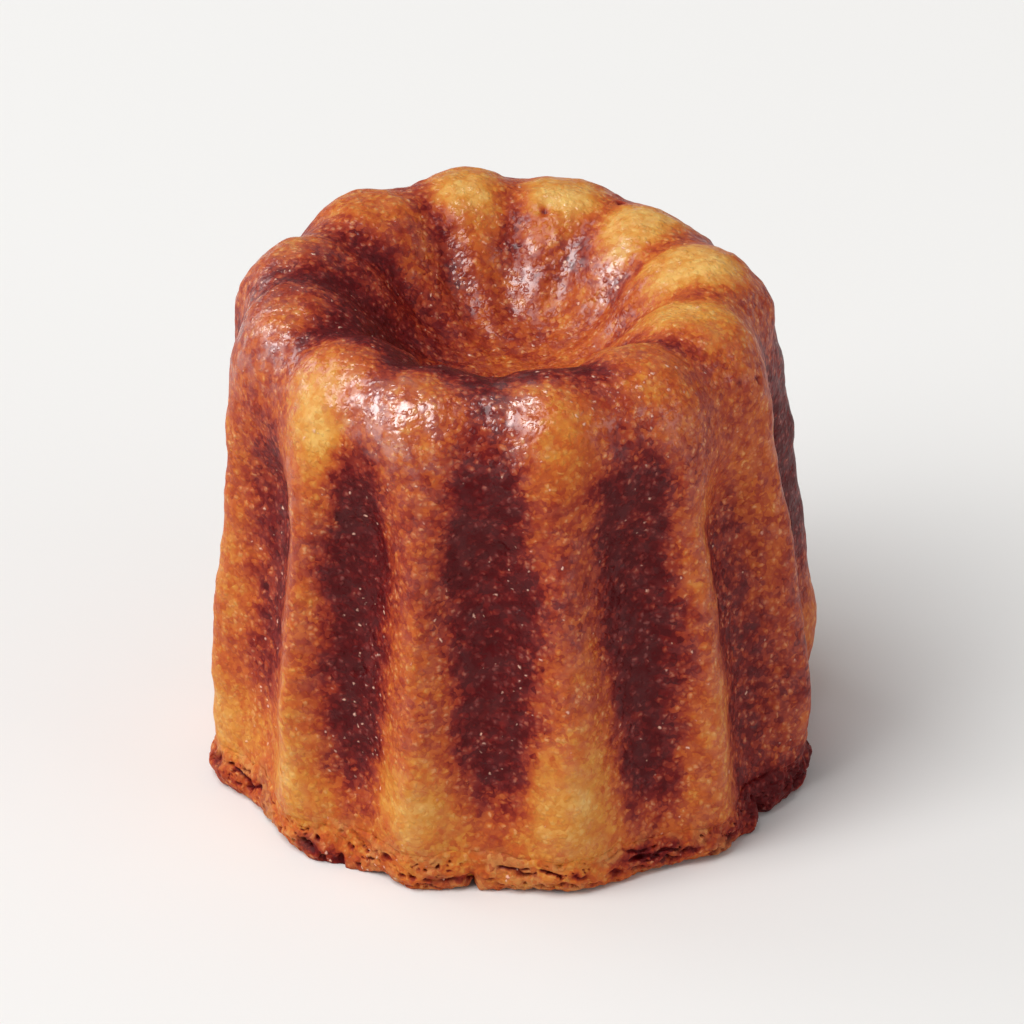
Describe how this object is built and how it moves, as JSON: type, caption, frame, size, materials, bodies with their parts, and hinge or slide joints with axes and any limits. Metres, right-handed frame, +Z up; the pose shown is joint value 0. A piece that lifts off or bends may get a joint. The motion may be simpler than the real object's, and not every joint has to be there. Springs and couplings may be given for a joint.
{
  "type": "canele",
  "caption": "Fluted custard cake, turned out upright, with a dished top, rounded shoulders, a caramelised crust and a flat foot.",
  "frame": {"origin": "middle of the flat foot that the cake stands on", "axes": "+Z up through the middle of the dish, -Y towards the front, which is the side with the palest shoulder, +X to the right seen from the front"},
  "size_m": [0.0544, 0.0558, 0.0494],
  "materials": {
    "crust": "caramelised crust, gold on the ridges and dark mahogany in the flutes, fine grain under a waxy gloss"
  },
  "bodies": {
    "root": {"canele": "crust"}
  },
  "joints": []
}
